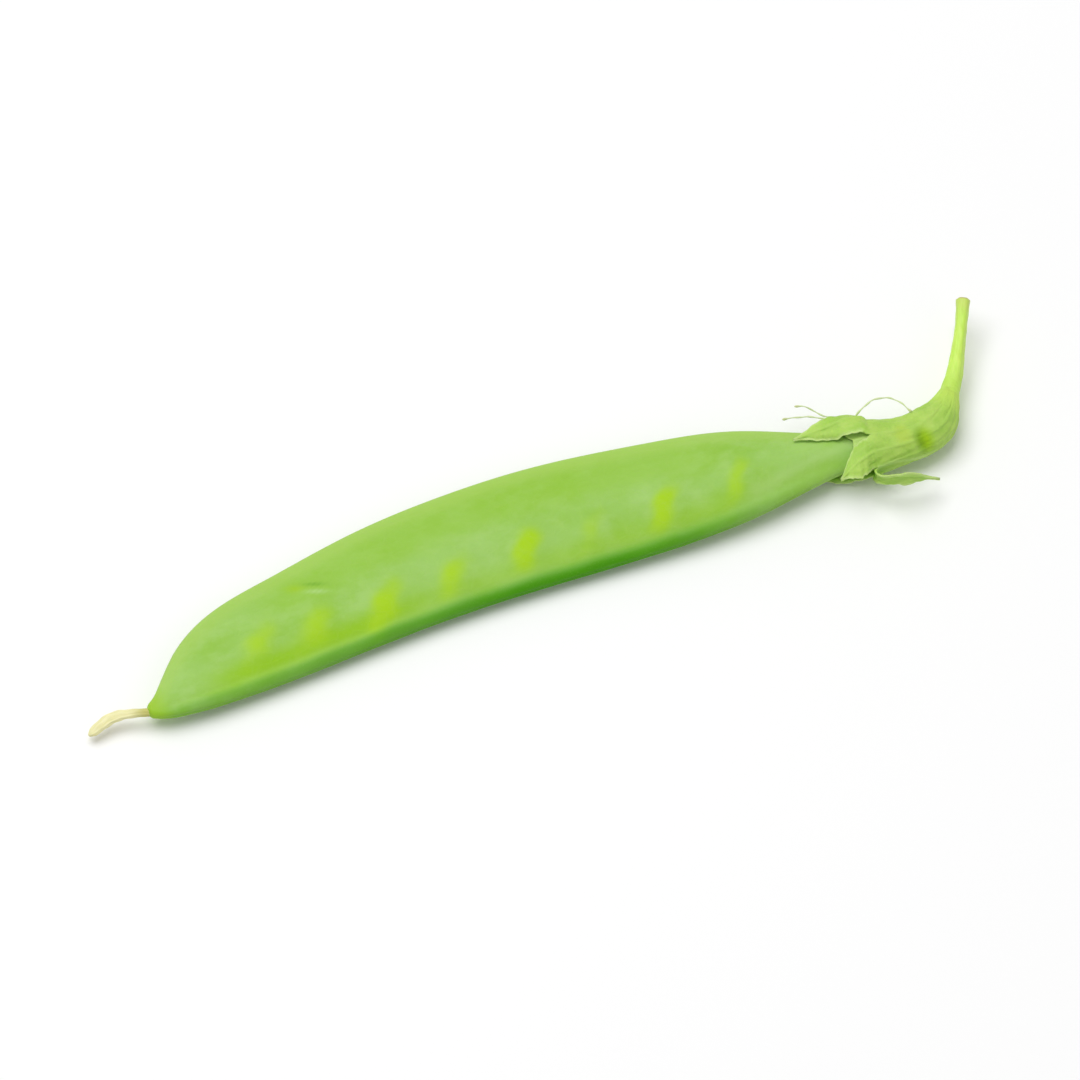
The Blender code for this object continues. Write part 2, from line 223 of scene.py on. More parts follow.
class Signal:
    """A shader socket that sums can be written with: each operation adds its Math node."""

    def __init__(self, finish, socket):
        self.finish = finish
        self.socket = socket

    def reckon(self, operation, other):
        return self.finish.node("ShaderNodeMath", {"operation": operation}, {0: self, 1: other})

    def __add__(self, other):
        return self.reckon("ADD", other)

    def __mul__(self, other):
        return self.reckon("MULTIPLY", other)

    __radd__ = __add__
    __rmul__ = __mul__

    def eased(self, low, high):
        """0 below low, 1 above high, and a smooth step between; low may be the greater."""
        sockets = {"Value": self, "From Min": low, "From Max": high, "To Min": 0.0, "To Max": 1.0}
        return self.finish.node("ShaderNodeMapRange", {"interpolation_type": "SMOOTHSTEP"}, sockets)


class Finish:
    """A material being made: constant values on its shader, and nodes for what changes over it."""

    def __init__(self, name, **constants):
        self.material = bpy.data.materials.new(name)
        self.material.use_nodes = True
        self.tree = self.material.node_tree
        self.shader = self.tree.nodes["Principled BSDF"]
        for socket, value in constants.items():
            self.shader.inputs[socket.replace("_", " ")].default_value = value

    def feed(self, socket, value):
        """Give an input socket a constant or a link."""
        if isinstance(value, Signal):
            self.tree.links.new(value.socket, socket)
        else:
            socket.default_value = value

    def node(self, kind, settings, sockets, output=0):
        """Add a node of any kind, its settings first and then its sockets, and return one output."""
        made = self.tree.nodes.new(kind)
        for name, value in settings.items():
            setattr(made, name, value)
        for name, value in sockets.items():
            self.feed(made.inputs[name], value)
        return Signal(self, made.outputs[output])

    def field(self, name, output="Fac"):
        """A value that the piece keeps for each of its points."""
        return self.node("ShaderNodeAttribute", {"attribute_name": name}, {}, output)

    def parts(self, vector):
        """The three measures of a vector, each by itself."""
        made = self.node("ShaderNodeSeparateXYZ", {}, {"Vector": vector})
        return [Signal(self, output) for output in made.socket.node.outputs]

    def place(self):
        """Place on the object, in metres."""
        return self.node("ShaderNodeTexCoord", {}, {}, "Object")

    def stretched(self, where, scale):
        """The same place with its three measures scaled, so that a pattern runs along the piece."""
        return self.node("ShaderNodeMapping", {}, {"Vector": where, "Scale": scale})

    def noise(self, where, scale, detail=3.0, roughness=0.5):
        """Soft noise from 0 to 1, mostly near the middle."""
        sockets = {"Vector": where, "Scale": scale, "Detail": detail, "Roughness": roughness}
        return self.node("ShaderNodeTexNoise", {}, sockets)

    def mix(self, share, first, second):
        """Colour between the first and the second, by share."""
        settings = {"data_type": "RGBA", "clamp_factor": True}
        return self.node("ShaderNodeMix", settings, {0: share, 6: first, 7: second}, 2)

    def coats(self, colour, layers):
        """The colour with each layer's own colour laid over it in turn, by the layer's share."""
        for share, over in layers:
            colour = self.mix(share, colour, over)
        return colour

    def bump(self, height, depth, under=None):
        """A normal roughened by the height, whose full step is depth metres."""
        sockets = {"Height": height, "Distance": depth, "Strength": 1.0}
        if under is not None:
            sockets["Normal"] = under
        return self.node("ShaderNodeBump", {}, sockets)

    def done(self, **driven):
        """Join what changes over the surface to the shader, and return the material."""
        for socket, value in driven.items():
            self.feed(self.shader.inputs[socket.replace("_", " ")], value)
        return self.material


def pod_rings():
    """Rings round the pod, from the beak to the neck.  Gives each point's x and y, its height over the
    middle plane, its reach from the seed rim towards the keel, the span between them, its share of the
    way and its side.  Half thickness is the 8-norm of a lens and two rim circles, plus the seeds."""
    cap_end = BEAK_RADIUS / length_of(VENTRAL_RIM)
    turn = np.linspace(0, math.pi / 2, CAP_RINGS + 1)[1:]
    at = np.concatenate([cap_end * (1 - np.cos(turn)), np.linspace(cap_end, 1, POD_RINGS)[1:]])
    close = np.concatenate([np.sin(turn), np.ones(POD_RINGS - 1)])[:, None]
    low = line(VENTRAL_RIM, at)
    high = line(DORSAL_RIM, at)
    low_radius = close * np.interp(at, RIM_AT, [BEAK_RADIUS, BEAK_RADIUS, VENTRAL_RADIUS,
                                                VENTRAL_RADIUS, NECK_RADIUS])[:, None]
    high_radius = close * np.interp(at, RIM_AT, [BEAK_RADIUS, BEAK_RADIUS, DORSAL_RADIUS,
                                                 DORSAL_RADIUS, NECK_RADIUS])[:, None]
    belly = close * cubic(BELLY_AT, BELLY_HALF, at)[:, None]
    # Where the rims all but meet, in the beak, the rings keep the direction of the first wide one.
    span = np.linalg.norm(high - low, axis=1)
    wide = span > BEAK_SPAN
    across = (high - low) / np.where(wide, span, 1.0)[:, None]
    across[~wide] = across[np.argmax(wide)]
    span = span[:, None]

    turn = np.linspace(0, 2 * math.pi, POD_COLUMNS, endpoint=False)[None, :]
    share = (1 - np.cos(turn)) / 2
    side = np.where(turn < math.pi, 1.0, -1.0)
    side[0, [0, POD_COLUMNS // 2]] = 0.0
    reach = share * (span + low_radius + high_radius) - low_radius
    lens = belly * (4 * share * (1 - share)) ** BELLY_ROUNDNESS
    low_rim = np.sqrt(np.maximum(low_radius ** 2 - reach ** 2, 0))
    high_rim = np.sqrt(np.maximum(high_radius ** 2 - (reach - span) ** 2, 0))
    half = (lens ** RIM_BLEND + low_rim ** RIM_BLEND + high_rim ** RIM_BLEND) ** (1 / RIM_BLEND)
    x = low[:, None, 0] + across[:, None, 0] * reach
    y = low[:, None, 1] + across[:, None, 1] * reach
    for seed_x, seed_y, _, _, _ in SEEDS:
        swell = ((x - seed_x) / SEED_ALONG) ** 2 + ((y - seed_y) / SEED_ACROSS) ** 2
        half = half + SEED_SWELL * np.exp(-swell) * smooth(half)
    return x, y, half * side, reach, span, share, side


def seed_marks(x, y):
    """Over each seed an oval spot that leans and has a wavy edge, and below it a fainter deep tail."""
    spot = np.zeros_like(x)
    tail = np.zeros_like(x)
    bent_x = x + 0.22 * np.sin(1.3 * y + 0.7 * x) + 0.1 * np.sin(2.9 * y - 1.3 * x + 1)
    bent_y = y + 0.35 * np.sin(1.1 * x + 0.6 * y)
    for seed_x, seed_y, shows, wide_by, tall_by in SEEDS:
        slant = np.abs(bent_x - seed_x - SPOT_LEAN * (y - seed_y)) / wide_by
        rise = np.abs(bent_y - seed_y) / tall_by
        spot = np.maximum(spot, shows * np.exp(-slant ** SPOT_EDGE - rise ** SPOT_EDGE))
        tail = np.maximum(tail, shows * mound(slant, 1.0) * smooth((seed_y - 0.4 - y) / 2.2))
    return spot, tail


def veins(x, reach, share, side):
    """Two sets of slanting wandering lines.  The veins leave the seed seam, lean towards the beak and
    fade before they reach the keel; the cross veins lean the other way and fade towards the seeds."""
    wander = 0.55 * np.sin(0.9 * reach + 0.37 * x) + 0.4 * np.sin(1.7 * reach - 0.23 * x + side)
    vein = np.abs(((x + 0.75 * reach + wander) / VEINS_APART) % 1.0 - 0.5) * VEINS_APART
    cross = np.abs(((x - 1.1 * reach + 1.3 * wander) / CROSS_VEINS_APART + 0.3) % 1.0 - 0.5)
    return np.maximum(mound(vein, VEIN_WIDE) * (1 - 0.65 * share),
                      0.7 * mound(cross * CROSS_VEINS_APART, CROSS_VEIN_WIDE) * share)


def waves(x, y, side):
    """Low waves a centimetre or two long, which run otherwise on each side."""
    return (np.sin(0.42 * x + 0.9 * y + side) * np.sin(0.31 * x - 0.7 * y)
            + 0.6 * np.sin(0.83 * x - 0.4 * y + 2 * side))


def scrape_strokes(x, y, side):
    """The scrape's dark line, its pale side and its yellow end, on the upper side alone: mounds in how
    far along the scrape a point is, and how far beside it."""
    along = (x - SCRAPE_AT[0]) * SCRAPE_ALONG[0] + (y - SCRAPE_AT[1]) * SCRAPE_ALONG[1]
    beside = (y - SCRAPE_AT[1]) * SCRAPE_ALONG[0] - (x - SCRAPE_AT[0]) * SCRAPE_ALONG[1]
    return np.stack([mound(beside - 0.62, 0.28) * mound(along - 1.0, 1.5),
                     mound(beside + 0.62, 0.3) * mound(along - 1.3, 1.5),
                     mound(beside, 0.7) * mound(along + 1.4, 1.3)], axis=2) * (side > 0)[:, :, None]


x, y, up, reach, span, share, side = pod_rings()
grid = np.stack([x, y, up + lift(x)], axis=2)
face = smooth((reach - 1.0) / 1.6) * smooth((span - reach - 0.6) / 1.6)
seed_side = smooth((0.4 - reach) / 0.8)
keel_side = smooth((reach - span + 0.4) / 0.8)
groove = seed_side * mound(up, GROOVE_WIDE)
ridges = seed_side * mound(np.abs(up) - RIDGE_OUT, RIDGE_WIDE)
keel = keel_side * mound(up, KEEL_WIDE)
crease = (mound(reach - SEED_CREASE_IN, SEED_CREASE_WIDE)
          + 0.7 * mound(span - reach - KEEL_CREASE_IN, KEEL_CREASE_WIDE))
vein = face * veins(x, reach, share, side)
scrape = scrape_strokes(x, y, side)
height = (smooth((x - 0.5) / 3.0) * (RIDGE * ridges - GROOVE * groove + KEEL * keel)
          - CREASE * crease * face + VEIN * vein + WAVE * waves(x, y, side) * face
          - CREASE * scrape[:, :, 0])
grid = grid + outward(grid, True) * height[:, :, None]
grid[:, :, 2] = np.maximum(grid[:, :, 2], -REST_HALF)
neck = (np.array(VENTRAL_RIM[-1]) + DORSAL_RIM[-1]) / 2
ends = np.array([[*VENTRAL_RIM[0], lift(0.0)], [*neck, lift(DORSAL_RIM[-1][0])]])

# What its skin's colours follow: the marks over the seeds, the painted shade of the band on the seed seam
# and the yellow flush beside it, the half towards the keel and its rim, which is partly a lighter seam
# and partly a painted highlight, the keel, the veins and a painted highlight on the neck.
spot, tail = seed_marks(x, y)
painted_shade_edge = 0.7 + 0.5 * smooth((x - 30.0) / 15.0)
# Painted shade along the seed seam, deepest at its edge, its strength running from the beak to the neck.
seam_painted_shade = smooth((painted_shade_edge - reach) / (1.8 * painted_shade_edge)) * np.interp(x, PAINTED_SHADE_AT, PAINTED_SHADE_SHOWS)
flush = mound(reach - 1.5, 1.6) * smooth((x - 5.0) / 9.0) * (1 - 0.5 * smooth((x - 30.0) / 12.0))
flush = flush * smooth((90.0 - x) / 12.0)
upper = smooth((share - 0.42) / 0.25) * smooth((x - 12.0) / 14.0) * smooth((86.0 - x) / 12.0)
# A painted highlight low on the neck's upper side.
neck_highlight = mound(reach - 1.6, 0.8) * smooth((x - 80.0) / 8.0) * (side > 0)
fields = {"spot": spot, "tail": tail * face, "seam_painted_shade": seam_painted_shade, "flush": flush, "upper": upper,
          "keel": keel_side, "keel_rim_and_highlight": mound(span - reach - 0.3, 1.3), "vein": vein, "scrape": scrape,
          "neck_painted_highlight": neck_highlight, "skin": np.stack([x, reach, 5.0 * side + 0 * x], axis=2)}
rings, around = grid.shape[:2]
count = rings * around
points = np.concatenate([grid.reshape(-1, 3), ends])
faces = squares(rings, around)
faces += pole(np.arange(around), count, False)
faces += pole(np.arange(count - around, count), count + 1, True)
fields = {name: np.concatenate([values.reshape(count, *values.shape[2:]),
                                values[0, :1], values[-1, :1]]) for name, values in fields.items()}

skin = Finish("pod_skin", Subsurface_Weight=0.2, Subsurface_Radius=(0.9, 1.3, 0.35),
              Subsurface_Scale=0.0009, IOR=1.4, Specular_IOR_Level=0.22)
where = skin.place()
laid = skin.field("skin", "Vector")
patches = skin.noise(skin.stretched(where, (0.55, 1.0, 1.0)), 150.0, 3.0).eased(0.36, 0.66)
bloom = skin.noise(skin.stretched(where, (0.7, 1.0, 1.0)), 330.0, 4.0, 0.6).eased(0.38, 0.70)
speckle = skin.noise(where, 5200.0, 2.0)
net = skin.node("ShaderNodeTexVoronoi", {"feature": "DISTANCE_TO_EDGE"},
                {"Vector": skin.stretched(laid, (0.62, 0.95, 1.0)), "Scale": 0.75}).eased(0.12, 0.0)
dark_line, pale_side, yellow_end = skin.parts(skin.field("scrape", "Vector"))
colour = skin.coats(skin.mix(patches, FLESH, DEEPER_FLESH), [
    (bloom * 0.55, BLOOM),
    (skin.field("upper") * 0.6, KEEL_HALF),
    # partly a lighter seam, partly a painted highlight along the keel's rim
    (skin.field("keel_rim_and_highlight") * 0.6, KEEL_RIM_AND_HIGHLIGHT),
    (skin.field("flush") * 0.9, SEED_FLUSH),
    (skin.field("tail") * 0.5, SEED_TAIL),
    (skin.field("spot").eased(0.05, 0.95), SEED_SPOT),
    (net * 0.06 + skin.field("vein") * 0.14, PALE_VEIN),
    # painted highlight on the neck
    (skin.field("neck_painted_highlight") * 0.55, NECK_PAINTED_HIGHLIGHT),
    # painted shade on the seed seam's band
    (skin.field("seam_painted_shade"), SEAM_PAINTED_SHADE),
    (skin.field("keel") * 0.5, KEEL_LINE),
    (yellow_end * 0.8, SCRAPE_END),
    (pale_side * 0.75, SCRAPE_PALE),
    (dark_line * 0.85, SCRAPE_DARK),
    (skin.parts(laid)[0].eased(3.5, 0.5) * 0.8, BEAK_GREEN),
    (speckle.eased(0.55, 0.75) * 0.08, SPECKS)])
rough = 0.42 + 0.14 * bloom + 0.06 * speckle
normal = skin.bump(speckle + 0.6 * skin.noise(where, 1700.0, 3.0), 0.000015)
normal = skin.bump(net, 0.000012, normal)
material = skin.done(Base_Color=colour, Roughness=rough, Normal=normal)
piece("pod_walls", points, faces, fields, material, "pod_skin", ["pod"])

# The calyx: a green cup of five joined sepals on the pod's stalk end, whose free tips are five lobes.
# It is thin leaf, ribbed by ten veins, with pale dry margins.  It grew round the flower, and what was
# its two upper lobes lies over the pod's dorsal edge while a lower one has folded right back.
CUP_AXIS = [(112.5, 3.2), (110.6, 1.0), (108.1, -0.8), (105.3, -1.35), (102.4, -1.2), (99.8, -0.8)]
CUP_RADIUS = [1.25, 2.1, 3.0, 3.1, 3.3, 3.9]
CUP_FLATTEN = 0.8
CUP_ROWS = 60
CUP_COLUMNS = 240
NEAR = 0.01
# Each lobe: its share of the cup's columns in fortieths, length, lean out from the axis at its root
# and further out in degrees, sideways drift and arch, widest half width, and twist along the pod.
LOBES = [(10, 10.0, 66.0, -3.5, -1.0, 0.0, 1.9, -52.0),
         (8, 5.2, 2.0, 2.0, 2.0, 0.0, 2.2, 20.0),
         (6, 8.6, 40.0, 164.0, -0.4, -1.9, 2.0, 0.0),
         (7, 7.2, -6.0, -4.0, 0.6, 0.0, 1.5, -18.0),
         (9, 8.6, 16.0, 9.0, 0.6, 0.0, 1.9, 34.0)]
LEAN_SPAN = 0.1
LOBE_WIDTH_AT = [0, 0.1, 0.38, 0.72, 0.9, 1]
LOBE_FLATTEN = 0.6
LOBE_ROWS = 70
LEAF_THICK = 0.32
SINUS = 0.08
SINK = 0.04
RAGGED = 0.07
RIB, WRINKLE, MARGIN_WAVE, FOLD = 0.13, 0.05, 0.14, 0.16
MIDRIB, SIDE_RIB = 0.13, 0.08
MARGIN = 0.55
# A pale raised fold runs down the cup's seed side: its angle round the cup, nearer the stem and at
# the mouth.
PALE_FOLD = (186.0, 163.0)
# A hollow low on the cup, near the stem, whose olive colour is painted shade, deeper on the mouth's side
# of one place along the pod, and a faint tan patch on the cup's top.
OLIVE_AT, OLIVE_SIZE = (106.1, -3.2), (1.4, 1.5)
SHADE_DEEPENS_AT = 106.6
OLIVE_DEPTH = 0.09
TAN_AT, TAN_SIZE = (103.7, -2.0), (1.2, 1.6)
LEAF, PALER_LEAF = (0.370, 0.610, 0.090, 1.0), (0.455, 0.680, 0.125, 1.0)
LEAF_BY_STEM = (0.52, 0.78, 0.110, 1.0)
LEAF_TAN = (0.46, 0.63, 0.060, 1.0)
LEAF_RIB = (0.45, 0.68, 0.15, 1.0)
LEAF_MARGIN = (0.58, 0.78, 0.27, 1.0)
# Painted shade in the cup's hollow near the stem, and its deeper part on the mouth's side.
HOLLOW_PAINTED_SHADE, HOLLOW_DEEPER_PAINTED_SHADE = (0.345, 0.580, 0.004, 1.0), (0.210, 0.400, 0.002, 1.0)


def cup_rings(at, radius):
    """Rings of the cup: ovals square to its bent axis, from the stem to the mouth."""
    centre = line(CUP_AXIS, at)
    ahead = line(CUP_AXIS, np.minimum(at + NEAR, 1)) - line(CUP_AXIS, np.maximum(at - NEAR, 0))
    ahead /= np.linalg.norm(ahead, axis=1)[:, None]
    sideways = np.stack([ahead[:, 1], -ahead[:, 0]], axis=1)
    turn = math.pi / 2 - np.linspace(0, 2 * math.pi, CUP_COLUMNS, endpoint=False)
    out = np.sin(turn)[None, :, None] * sideways[:, None, :] * radius[:, :, None]
    z = np.cos(turn)[None, :] * radius * CUP_FLATTEN + lift(centre[:, :1])
    return np.concatenate([centre[:, None, :] + out, z[:, :, None]], axis=2)


def lobe_sheet(lobe, mouth):
    """One lobe's middle surface: it leaves the mouth's arc, follows a curling midline, narrows to a
    fine point, folds a little along its midrib and waves at its margins."""
    _, length, lean_root, lean_tip, drift, arch, half_width, twist = lobe
    along = np.linspace(0, 1, LOBE_ROWS + 1)
    middle = mouth[len(mouth) // 2]
    chord = mouth[-1] - mouth[0]
    root_half = np.linalg.norm(chord) / 2
    forward = np.array([-1.0, 0.0, 0.0])
    chord = chord / (2 * root_half)
    rise = np.cross(forward, chord)
    rise *= np.sign(rise @ (middle - (mouth[0] + mouth[-1]) / 2))
    turned = np.radians(twist) * smooth(along / 0.7)
    sideways = np.cos(turned)[:, None] * chord + np.sin(turned)[:, None] * rise
    out_of_face = np.cos(turned)[:, None] * rise - np.sin(turned)[:, None] * chord
    lean = np.radians(lean_tip + (lean_root - lean_tip) * np.exp(-along / LEAN_SPAN))
    stride = length / LOBE_ROWS
    ahead = np.concatenate([[0], np.cumsum((np.cos(lean[1:]) + np.cos(lean[:-1])) / 2)]) * stride
    out = np.concatenate([[0], np.cumsum((np.sin(lean[1:]) + np.sin(lean[:-1])) / 2)]) * stride
    spine = (middle + forward * ahead[:, None] + rise * out[:, None]
             + chord * (drift * along ** 1.5 + arch * np.sin(math.pi * along ** 0.8))[:, None])
    width = cubic(LOBE_WIDTH_AT, [root_half, root_half - SINUS, half_width, half_width * 0.55,
                                  half_width * 0.2, 0.08], along)
    width = width * (1 + RAGGED * np.sin(37 * along) * np.sin(11 * along) * smooth(along / 0.3))
    flat = ((mouth - middle) @ chord) / root_half
    hollow = (mouth - middle) @ rise
    bow = (width / root_half * (1 - LOBE_FLATTEN * smooth(along / 0.5)))[:, None] * hollow[None, :]
    lifted = -np.sin(lean)[:, None] * forward + np.cos(lean)[:, None] * out_of_face
    lifted[0] = rise
    across = np.linspace(-1, 1, len(mouth))[None, :]
    free = smooth(along / 0.35)[:, None]
    bow = bow + MARGIN_WAVE * np.abs(across) ** 2.5 * free * np.sin(13 * along[:, None] + 2.2 * across
                                                                    + half_width)
    bow = bow + FOLD * half_width * (1 - np.abs(across)) ** 2 * free * (1 - along[:, None])
    return (spine[:, None, :] + sideways[:, None, :] * (width[:, None] * flat[None, :])[:, :, None]
            + lifted[:, None, :] * bow[:, :, None]), width


def patch(points, centre, size):
    """An oval patch on the cup's upper side, which fades down the cup's flank."""
    away = np.hypot((points[..., 0] - centre[0]) / size[0], (points[..., 1] - centre[1]) / size[1])
    return smooth(1.3 - away) * smooth((points[..., 2] - 0.7) / 1.6)


at = np.linspace(0, 1, CUP_ROWS)[:, None]
around = np.linspace(0, 2 * math.pi, CUP_COLUMNS, endpoint=False)[None, :]
per_part = CUP_COLUMNS // 40
starts = np.cumsum([0] + [lobe[0] for lobe in LOBES]) * per_part
spreads = [(starts[i] + np.arange(lobe[0] * per_part + 1)) % CUP_COLUMNS for i, lobe in enumerate(LOBES)]
rib = np.zeros(CUP_COLUMNS)
for lobe, columns in zip(LOBES, spreads):
    inside = np.abs(np.linspace(-1, 1, len(columns)) * lobe[0] / 8)
    rib[columns] = np.maximum(mound(inside, 0.09), 0.8 * mound(inside - lobe[0] / 8, 0.07))
# Its edge on the stem is feathered and sunk a little, so that cup and stem run into each other.
thin_edge = 0.12 + 0.88 * smooth(at / 0.15)
radius = cubic(np.linspace(0, 1, len(CUP_RADIUS)), CUP_RADIUS, at.ravel())[:, None]
radius = radius - thin_edge * LEAF_THICK / 2 - SINK * smooth(1 - at / 0.1)
fold_angle = np.radians(PALE_FOLD[0] + (PALE_FOLD[1] - PALE_FOLD[0]) * smooth((at - 0.6) / 0.3))
pale_fold = mound(around - fold_angle, 0.1) * smooth((at - 0.45) / 0.2)
radius = radius + RIB * (rib + pale_fold) * smooth(at / 0.25) * (1 - 0.5 * at)
wrinkles = np.sin(17 * at + 3 * np.sin(6 * around)) + 0.8 * np.sin(9 * around + 14 * at) * np.sin(31 * at)
radius = radius + WRINKLE * wrinkles * smooth(at / 0.2)
radius = radius * (1 - OLIVE_DEPTH * patch(cup_rings(at.ravel(), radius), OLIVE_AT, OLIVE_SIZE))
cup = cup_rings(at.ravel(), radius)
points = [cup.reshape(-1, 3)]
faces = squares(CUP_ROWS, CUP_COLUMNS)
grown = np.repeat(at, CUP_COLUMNS)
# What the leaf's colours and thickness follow: its pale margins, its ribs, how far down from the mouth
# or out along a lobe each point is, and how much of the full thickness it has.
values = {"margin": [0.9 * pale_fold.ravel()], "rib": [np.tile(rib, CUP_ROWS) * grown],
          "down": [grown - 1], "thin": [np.repeat(thin_edge, CUP_COLUMNS)]}
used = CUP_ROWS * CUP_COLUMNS
for lobe, columns in zip(LOBES, spreads):
    sheet, width = lobe_sheet(lobe, cup[-1, columns])
    width = width[:, None]
    across = np.linspace(-1, 1, len(columns))[None, :]
    along = np.linspace(0, 1, LOBE_ROWS + 1)[:, None]
    midrib = mound(across * width, 0.13) * (1 - 0.6 * along)
    side_rib = 0.6 * mound((np.abs(across) - 0.5) * width, 0.09) * smooth(along / 0.1) * (1 - along)
    crumple = np.sin(21 * along + 4 * across + lobe[1]) * np.sin(6 * across - 9 * along)
    raised = (MIDRIB * midrib + SIDE_RIB * side_rib + WRINKLE * crumple) * smooth(along / 0.1)
    sheet = sheet + outward(sheet, False) * raised[:, :, None]
    # Row 0 of the lobe is the cup's own mouth, so cup and lobes are one sheet of leaf.
    wide = len(columns)
    root = (CUP_ROWS - 1) * CUP_COLUMNS + columns
    rows = np.vstack([root, used + np.arange(LOBE_ROWS * wide).reshape(LOBE_ROWS, wide)])
    corners = [rows[:-1, :-1], rows[1:, :-1], rows[1:, 1:], rows[:-1, 1:]]
    faces += np.stack(corners, axis=-1).reshape(-1, 4).tolist()
    points.append(sheet[1:].reshape(-1, 3))
    used += LOBE_ROWS * wide
    edge = smooth((np.abs(across) * width - width + MARGIN) / MARGIN)
    edge = np.maximum(edge, smooth((along - 0.86) / 0.14)) * smooth(along / 0.15)
    values["margin"].append(edge[1:].ravel())
    values["rib"].append(np.maximum(midrib, side_rib)[1:].ravel())
    values["down"].append((along + 0 * across)[1:].ravel())
    values["thin"].append((1 - 0.65 * edge)[1:].ravel())
points = np.concatenate(points)
fields = {name: np.concatenate(parts) for name, parts in values.items()}
on_cup = np.arange(len(points)) < CUP_ROWS * CUP_COLUMNS
# Painted shade in the hollow near the stem.
fields["hollow_painted_shade"] = patch(points, OLIVE_AT, OLIVE_SIZE) * on_cup
fields["tan"] = patch(points, TAN_AT, TAN_SIZE)

leaf = Finish("calyx_leaf", Subsurface_Weight=0.2, Subsurface_Radius=(0.9, 1.3, 0.35),
              Subsurface_Scale=0.0008, IOR=1.4, Specular_IOR_Level=0.4)
where = leaf.place()
cloudy = leaf.noise(where, 380.0, 4.0, 0.6)
fine = leaf.noise(where, 2600.0, 3.0)
# The painted shade in the hollow deepens on the mouth's side of one place along the pod.
turns_at = SHADE_DEEPENS_AT * MM + ORIGIN[0]
deeper_painted_shade = leaf.parts(where)[0].eased(turns_at, turns_at - 1.2 * MM)
colour = leaf.coats(leaf.mix(cloudy.eased(0.36, 0.66), LEAF, PALER_LEAF), [
    (leaf.field("down").eased(-0.65, -0.95), LEAF_BY_STEM),
    (leaf.field("tan") * 0.6, LEAF_TAN),
    (leaf.field("rib") * 0.45, LEAF_RIB),
    (leaf.field("margin") * 0.8, LEAF_MARGIN),
    # painted shade in the hollow near the stem
    (leaf.field("hollow_painted_shade"), leaf.mix(deeper_painted_shade, HOLLOW_PAINTED_SHADE, HOLLOW_DEEPER_PAINTED_SHADE))])
material = leaf.done(Base_Color=colour, Roughness=0.48 + 0.15 * cloudy,
                     Normal=leaf.bump(fine + 1.2 * cloudy, 0.00009))
calyx = piece("calyx_cup_and_lobes", points, faces, fields, material, "calyx_green", ["calyx"])
thinner = calyx.vertex_groups.new(name="thin")
for level in range(1, 11):
    chosen = np.flatnonzero(np.round(fields["thin"] * 10) == level).tolist()
    thinner.add(chosen, level / 10, "REPLACE")
wall = calyx.modifiers.new("leaf_thickness", "SOLIDIFY")
wall.thickness = LEAF_THICK * MM
wall.offset = 0.0
wall.vertex_group = "thin"

# The stem: a slender green stalk, ribbed lengthwise, that widens into the calyx and was snapped off
# the plant.  Its broken end has dried to a pinkish brown.
STEM_LINE = [(112.5, 3.2), (113.9, 5.1), (115.3, 7.4), (117.0, 10.3), (119.2, 14.4)]
STEM_RADIUS = [1.25, 1.05, 0.86, 0.78, 0.92]
STEM_RISE = 1.6
STEM_ROWS = 180
STEM_AROUND = 64
STEM_BEFORE = 0.1
STEM_FLARE = 0.29
STEM_SINK = 0.12
STEM_RIB, STEM_UNEVEN = 0.035, 0.02
STALK, PALER_STALK = (0.55, 0.82, 0.110, 1.0), (0.64, 0.88, 0.155, 1.0)
STALK_BY_CUP = (0.52, 0.78, 0.110, 1.0)
STALK_FADING = (0.58, 0.66, 0.16, 1.0)
DRIED_END = (0.52, 0.40, 0.19, 1.0)


def start_before(points, at):
    """The smooth line through the points, carried straight on behind its start where at is negative."""
    path = line(points, np.maximum(at, 0))
    heading = line(points, [0.0, 0.02])
    heading = (heading[1] - heading[0]) / np.linalg.norm(heading[1] - heading[0])
    return path + np.minimum(at, 0)[:, None] * length_of(points) * heading


def tube(path, radius, around, flatten=None):
    """A tube along a path of 3-D points: at each point an oval ring square to the path, level at its
    sides.  The radius may change along and round it."""
    ahead = np.gradient(path, axis=0)
    ahead /= np.linalg.norm(ahead, axis=1)[:, None]
    side = np.cross(ahead, np.array([0.0, 0.0, 1.0]))
    side /= np.linalg.norm(side, axis=1)[:, None]
    over = np.cross(side, ahead)
    turn = np.linspace(0, 2 * math.pi, around, endpoint=False)
    flatten = np.ones(len(path)) if flatten is None else flatten
    ring = (np.cos(turn)[None, :, None] * side[:, None, :]
            + np.sin(turn)[None, :, None] * over[:, None, :] * flatten[:, None, None])
    return path[:, None, :] + ring * np.broadcast_to(radius, (len(path), around))[:, :, None]


def closed_tube(grid, start, end, first=0):
    """Points and faces of a tube's rings with a point that closes each end."""
    rows, columns = grid.shape[:2]
    count = rows * columns
    points = np.concatenate([grid.reshape(-1, 3), [start, end]])
    faces = squares(rows, columns, first)
    faces += pole(first + np.arange(columns), first + count, False)
    faces += pole(first + np.arange(count - columns, count), first + count + 1, True)
    return points, faces


def tube_fields(at, turn):
    """Fields of a closed tube: how far along each point is, and its place on the tube laid out."""
    around = turn.shape[1]
    lay = np.stack([np.cos(turn) + 0 * at[:, None], np.sin(turn) + 0 * at[:, None],
                    at[:, None] + 0 * turn], axis=2).reshape(-1, 3)
    return {"along": np.append(np.repeat(at, around), [at[0], at[-1]]),
            "lay": np.concatenate([lay, [[0, 0, at[0]], [0, 0, at[-1]]]])}


at = np.linspace(-STEM_BEFORE, 1, STEM_ROWS)
path = start_before(STEM_LINE, at)
path = np.column_stack([path, lift(STEM_LINE[0][0]) + STEM_RISE * np.maximum(at, 0) ** 2])
turn = np.linspace(0, 2 * math.pi, STEM_AROUND, endpoint=False)[None, :]
radius = cubic(np.linspace(0, 1, len(STEM_RADIUS)), STEM_RADIUS, np.clip(at, 0, 1))[:, None]
radius = radius * (1 + STEM_RIB * smooth(at[:, None] / 0.2) * np.cos(5 * turn + 2.0 * at[:, None]))
